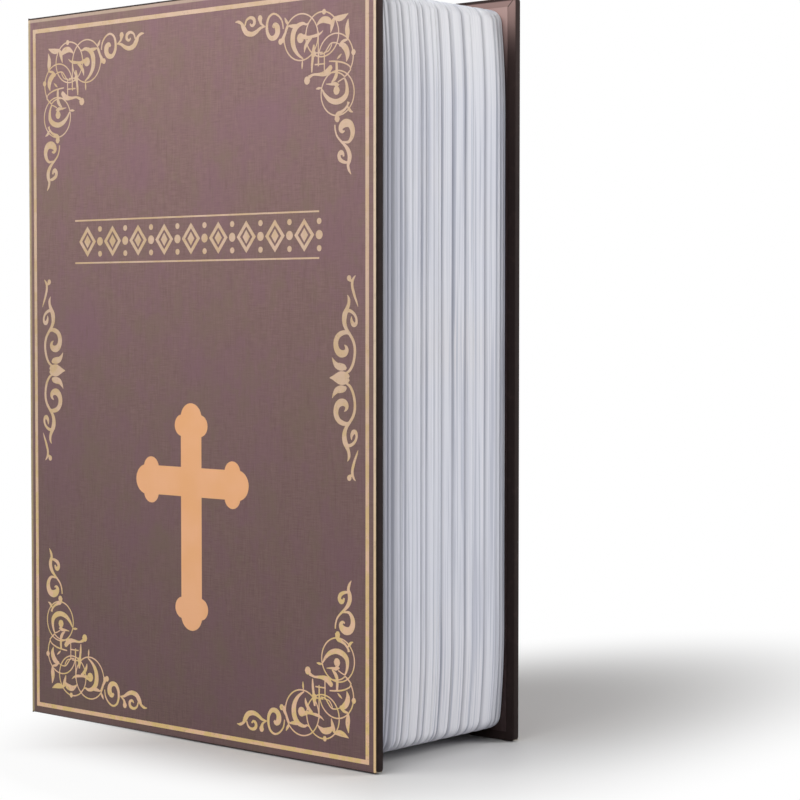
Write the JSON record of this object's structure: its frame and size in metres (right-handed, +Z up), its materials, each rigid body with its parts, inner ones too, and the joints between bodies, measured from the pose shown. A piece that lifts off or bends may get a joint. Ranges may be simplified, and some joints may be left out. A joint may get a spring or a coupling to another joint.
{
  "type": "book diversion safe",
  "caption": "Upright hardback-book diversion safe: cloth-look cover, ribbed page-block moulding, steel box with a piano-hinged lid and key-operated cam lock.",
  "frame": {"origin": "middle of the base on which the book stands, at the centre of its bounding box in X and Y", "axes": "+Z up along the spine, +X from the spine to the fore-edge, +Y from the front cover to the back cover"},
  "size_m": [0.16, 0.07, 0.24],
  "materials": {
    "printed_cover": "brown cloth-textured printed paper with gilt print",
    "greyboard": "plain greyboard",
    "endpaper": "dark semi-gloss paper",
    "page_moulding": "satin white moulding",
    "powder_coat": "fine textured dark green-grey powder coat",
    "zinc_steel": "bright zinc plate",
    "chrome_plate": "polished chrome plate",
    "satin_nickel": "satin nickel plate",
    "wafer_brass": "stamped brass",
    "pad_foam": "closed-cell adhesive foam"
  },
  "bodies": {
    "book_body": {"back_board": "greyboard", "back_wrap": "printed_cover", "back_endpaper": "endpaper", "spine_board": "greyboard", "spine_wrap": "printed_cover", "spine_liner": "endpaper", "front_fold": "printed_cover", "page_shell": "page_moulding", "page_shell_screw_1": "zinc_steel", "page_shell_screw_2": "zinc_steel", "page_shell_screw_3": "zinc_steel", "page_shell_screw_4": "zinc_steel", "page_shell_screw_5": "zinc_steel", "page_shell_screw_6": "zinc_steel", "box_body": "powder_coat", "back_pad": "pad_foam", "spine_pad": "pad_foam", "hinge_leaf_body": "zinc_steel", "hinge_pin": "zinc_steel", "body_leaf_rivet_1": "zinc_steel", "body_leaf_rivet_2": "zinc_steel", "body_leaf_rivet_3": "zinc_steel", "body_leaf_rivet_4": "zinc_steel", "strike": "zinc_steel", "strike_rivet_1": "zinc_steel", "strike_rivet_2": "zinc_steel"},
    "front_cover": {"front_board": "greyboard", "front_wrap": "printed_cover", "front_endpaper": "endpaper"},
    "lid": {"lid_pan": "powder_coat", "hinge_leaf_lid": "zinc_steel", "lid_leaf_rivet_1": "zinc_steel", "lid_leaf_rivet_2": "zinc_steel", "lid_leaf_rivet_3": "zinc_steel", "lid_leaf_rivet_4": "zinc_steel", "lock_housing": "chrome_plate", "lock_washer": "zinc_steel", "lock_nut": "zinc_steel"},
    "lock_turning": {"lock_plug": "satin_nickel", "lock_wafer_1": "wafer_brass", "lock_wafer_2": "wafer_brass", "lock_wafer_3": "wafer_brass", "lock_wafer_4": "wafer_brass", "lock_cam": "zinc_steel", "cam_washer": "zinc_steel", "cam_screw": "zinc_steel"}
  },
  "joints": [
    {"name": "front_cover_hinge", "type": "hinge", "parent": "book_body", "child": "front_cover", "pos_m": [-0.07985, -0.03485, 0.12], "axis": [0, 0, -1], "range_deg": [0, 175]},
    {"name": "lid_hinge", "type": "hinge", "parent": "book_body", "child": "lid", "pos_m": [-0.0738, -0.0286, 0.12], "axis": [0, 0, -1], "range_deg": [0, 105]},
    {"name": "lock_turn", "type": "hinge", "parent": "lid", "child": "lock_turning", "pos_m": [0.0531, -0.02, 0.12], "axis": [0, -1, 0], "range_deg": [0, 90]}
  ],
  "couplings": [
    {"joint": "lid_hinge", "follows": "front_cover_hinge", "ratio": 0.6}
  ]
}
